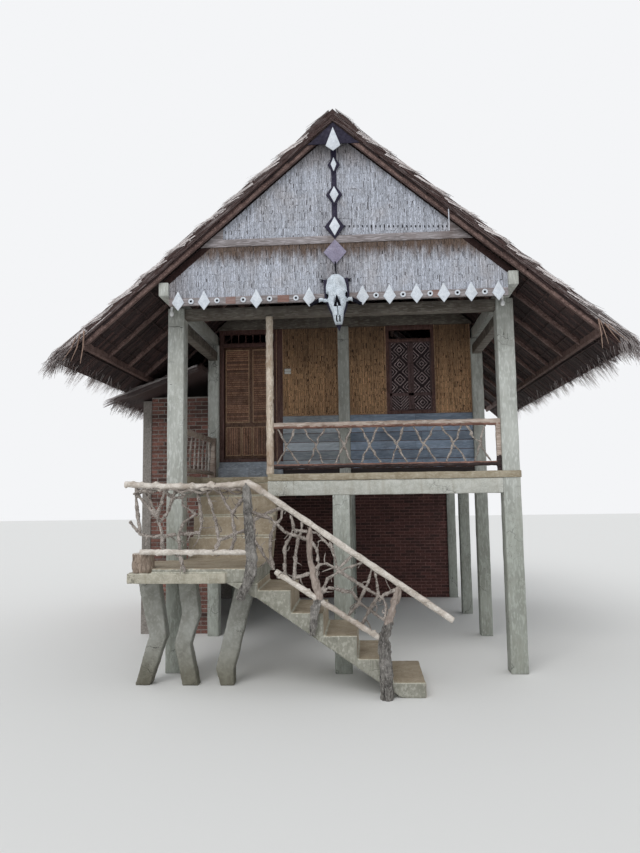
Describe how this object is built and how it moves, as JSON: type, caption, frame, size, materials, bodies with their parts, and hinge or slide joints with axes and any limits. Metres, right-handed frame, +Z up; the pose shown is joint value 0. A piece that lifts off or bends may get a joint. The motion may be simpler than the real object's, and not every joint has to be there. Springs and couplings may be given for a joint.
{
  "type": "stilt house",
  "caption": "Raised house on square concrete posts with a railed veranda, a cast stair with branch railings, reed walls and a steep thatched gable roof",
  "frame": {"origin": "centre of the foot of the front middle post, on the ground and on the ridge's centre line", "axes": "+X right seen from the front, +Y from the front into the house, +Z up"},
  "size_m": [7.44, 8.445, 7.3386],
  "materials": {
    "concrete": "matte",
    "stair_concrete": "rough",
    "floor_screed": "matte",
    "beam_timber": "matte",
    "roof_timber": "matte",
    "thatch": "rough",
    "reed_mat": "rough",
    "reed_wall": "rough",
    "dado_board": "satin",
    "room_floor": "matte",
    "door_wood": "satin",
    "frame_wood": "satin",
    "window_wood": "matte",
    "branch": "rough",
    "log": "rough",
    "brick": "rough",
    "white_paint": "matte",
    "dark_paint": "matte",
    "bone": "matte",
    "lamp_glass": "gloss",
    "hinge_steel": "matte"
  },
  "bodies": {
    "house": {"front_left_post": "concrete", "front_middle_post": "concrete", "front_right_post": "concrete", "second_row_posts": "concrete", "rear_posts": "concrete", "floor_beams": "concrete", "veranda_floor": "floor_screed", "room_floor": "room_floor", "front_tie_beam": "beam_timber", "side_tie_beams": "beam_timber", "row_beams": "beam_timber", "eave_beams": "beam_timber", "lower_flight": "stair_concrete", "landing_slab": "stair_concrete", "upper_flight": "stair_concrete", "landing_legs": "concrete", "corner_stump": "log", "stair_top_pole": "log", "stair_low_rails": "log", "stair_trunks": "branch", "landing_branches": "branch", "flight_branches": "branch", "veranda_pole": "log", "front_rail_logs": "log", "side_rail_logs": "log", "front_rail_branches": "branch", "side_rail_branches": "branch", "door_frame": "frame_wood", "door_hinges": "hinge_steel", "front_dado": "dado_board", "front_reed_wall": "reed_wall", "window_frame": "frame_wood", "window_leaves": "window_wood", "left_wall": "reed_wall", "right_wall": "reed_wall", "back_wall": "reed_wall", "left_thatch": "thatch", "right_thatch": "thatch", "ridge_cap": "thatch", "left_rafters": "roof_timber", "right_rafters": "roof_timber", "purlins": "roof_timber", "front_gable_mats": "reed_mat", "back_gable_mats": "reed_mat", "gable_trim": "beam_timber", "kite_row": "white_paint", "spine_ornament": "dark_paint", "cattle_skull": "bone", "lamp_bulbs": "lamp_glass", "annex_walls": "brick", "annex_roof": "thatch", "under_wall": "brick"},
    "door": {"door_leaf": "door_wood"}
  },
  "joints": [
    {"name": "door_swing", "type": "hinge", "parent": "house", "child": "door", "pos_m": [-2.0735, 2.365, 3.92], "axis": [0, 0, 1], "range_deg": [0, 90]}
  ]
}
